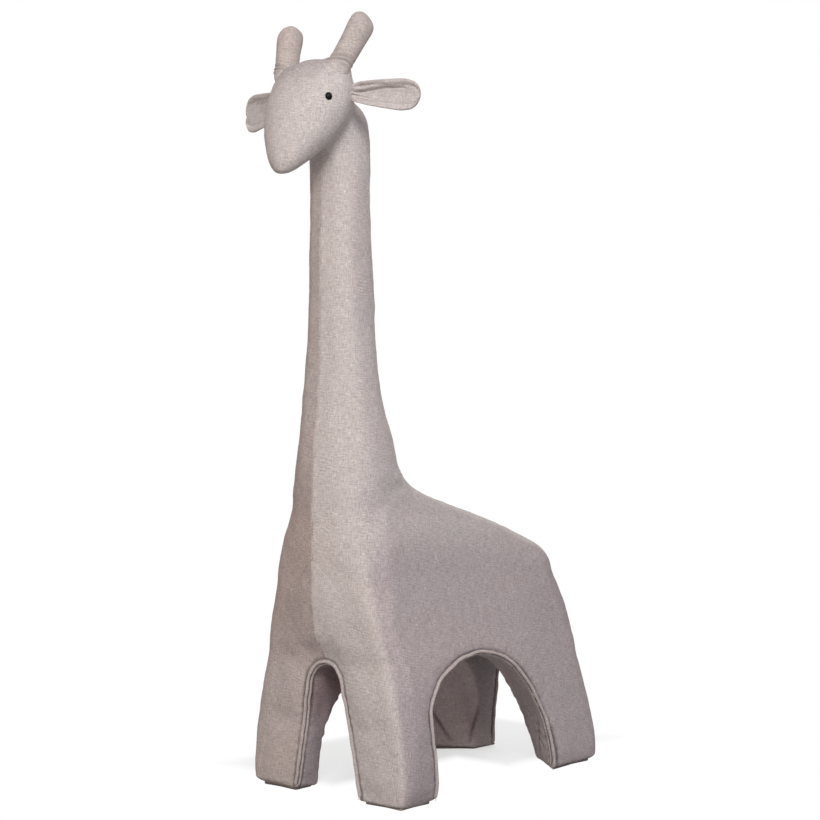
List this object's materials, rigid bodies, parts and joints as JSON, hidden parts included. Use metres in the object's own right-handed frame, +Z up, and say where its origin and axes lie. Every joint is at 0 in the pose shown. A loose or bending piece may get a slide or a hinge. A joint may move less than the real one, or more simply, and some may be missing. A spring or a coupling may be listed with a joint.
{
  "type": "plush giraffe",
  "caption": "Floor-standing plush giraffe: long stuffed neck, egg-shaped head, finger horns, paddle ears, arched body on flat-soled legs, hanging tail and a rod frame inside.",
  "frame": {"origin": "on the floor under the middle of the toy, at the bottom centre of its bounding box", "axes": "+Z up, -Y the way the giraffe faces, +X towards its left side"},
  "size_m": [0.3598, 0.6094, 1.1685],
  "materials": {
    "cover": "plain-weave linen and cotton cover, mauve grey, firmly stuffed",
    "sole": "the same plain weave, drawn flat under each foot",
    "board": "birch plywood, sanded",
    "frame_steel": "drawn steel rod, zinc plated",
    "frame_nylon": "moulded nylon",
    "eye": "polished black bead"
  },
  "bodies": {
    "body": {"body": "cover", "neck": "cover", "head": "cover", "leg_front_left": "cover", "leg_front_right": "cover", "leg_rear_left": "cover", "leg_rear_right": "cover", "horn_left": "cover", "horn_right": "cover", "sole_front_left": "sole", "sole_front_right": "sole", "sole_rear_left": "sole", "sole_rear_right": "sole", "foot_board_front_left": "board", "foot_board_front_right": "board", "foot_board_rear_left": "board", "foot_board_rear_right": "board", "neck_post": "frame_steel", "spine_rod": "frame_steel", "leg_hoop_front": "frame_steel", "leg_hoop_rear": "frame_steel", "neck_post_cap": "frame_nylon", "frame_clamp_front": "frame_nylon", "frame_clamp_rear": "frame_nylon", "eye_washer_left": "frame_nylon", "eye_washer_right": "frame_nylon", "eye_left": "eye", "eye_right": "eye"},
    "ear_left": {"ear_left": "cover"},
    "ear_right": {"ear_right": "cover"},
    "tail": {"tail": "cover"}
  },
  "joints": [
    {"name": "ear_left_flap", "type": "hinge", "parent": "body", "child": "ear_left", "pos_m": [0.07376, -0.21061, 1.04853], "axis": [-0.0458, -0.0161, 0.9988], "range_deg": [-45, 45], "stiffness_Nm_per_rad": 0.08},
    {"name": "ear_right_flap", "type": "hinge", "parent": "body", "child": "ear_right", "pos_m": [-0.07376, -0.21061, 1.04853], "axis": [0.0458, -0.0161, 0.9988], "range_deg": [-45, 45], "stiffness_Nm_per_rad": 0.08},
    {"name": "tail_swing", "type": "hinge", "parent": "body", "child": "tail", "pos_m": [0, 0.2639, 0.3165], "axis": [1, 0, 0], "range_deg": [0, 75]}
  ]
}
